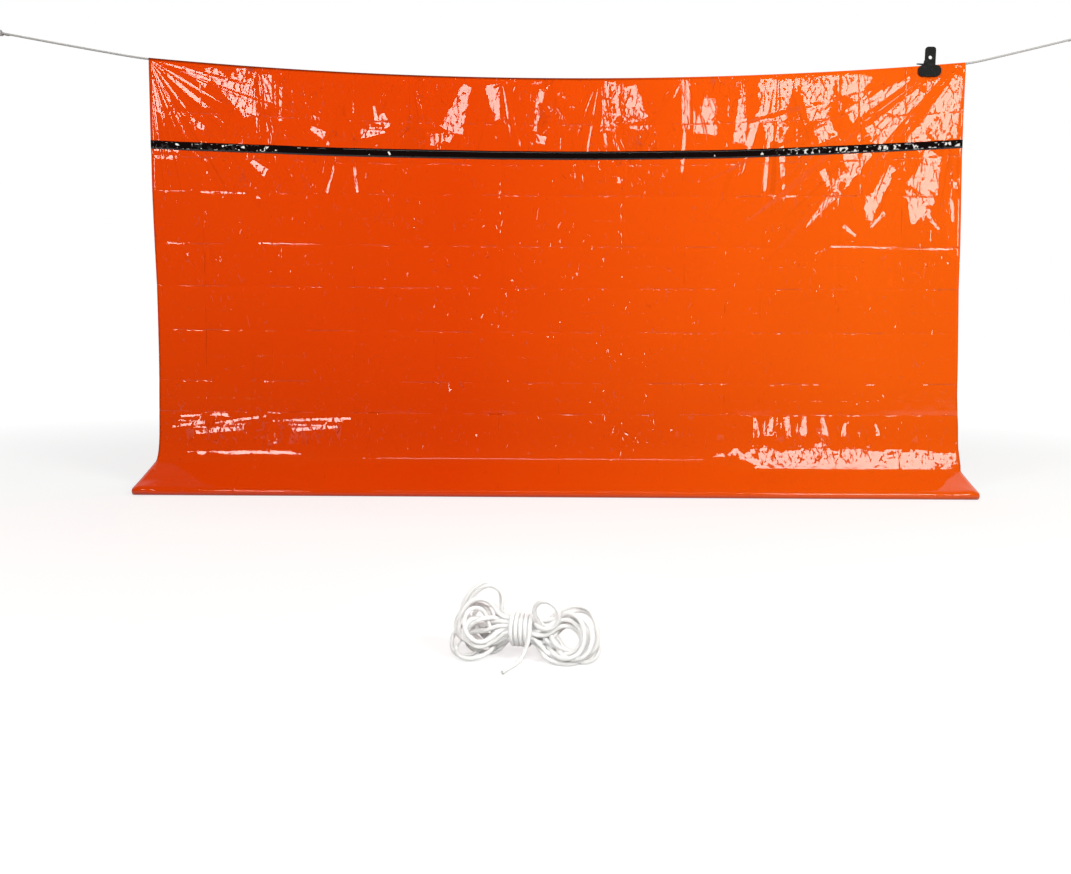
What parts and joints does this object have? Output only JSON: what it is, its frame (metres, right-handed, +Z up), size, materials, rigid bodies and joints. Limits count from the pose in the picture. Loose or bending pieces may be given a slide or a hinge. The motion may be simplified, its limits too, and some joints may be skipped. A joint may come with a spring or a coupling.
{
  "type": "tube shelter",
  "caption": "Open-ended tube of thin orange film hung over a cord as a low shelter, with a black band, a black spring clip on the ridge and a hank of spare cord.",
  "frame": {"origin": "on the ground under the middle of the ridge, at the centre of the film's footprint", "axes": "+X along the ridge, +Z up, -Y is the front, where the black band is and where the spare cord lies"},
  "size_m": [3.3669, 1.7649, 1.3922],
  "materials": {
    "film_front": "glossy orange film, silver inside",
    "film_back": "glossy orange film, silver inside",
    "film_floor": "glossy orange film, silver inside",
    "band": "glossy black film",
    "ridge_cord": "braided white cord",
    "spare_cord": "braided white cord",
    "clip_front": "satin black moulded plastic",
    "clip_rear": "satin black moulded plastic",
    "steel": "satin steel",
    "spring_wire": "drawn spring wire"
  },
  "bodies": {
    "root": {"front_wall": "film_front", "back_wall": "film_back", "floor_sheet": "film_floor", "black_band": "band", "ridge_line": "ridge_cord", "ridge_line_left": "ridge_cord", "ridge_line_right": "ridge_cord", "line_knot_left": "ridge_cord", "line_knot_right": "ridge_cord", "line_eye_left": "ridge_cord", "line_eye_right": "ridge_cord", "clip_front": "clip_front", "clip_pin": "steel", "clip_spring": "spring_wire", "cord_hank": "spare_cord", "hank_wrap": "spare_cord"},
    "clip_rear_jaw": {"clip_rear": "clip_rear"}
  },
  "joints": [
    {"name": "clip_jaw", "type": "hinge", "parent": "root", "child": "clip_rear_jaw", "pos_m": [1.112, 0, 1.288], "axis": [1, 0, 0], "range_deg": [0, 40], "stiffness_Nm_per_rad": 0.5, "springref_deg": -45.84, "deforming": ["clip_spring"]}
  ]
}
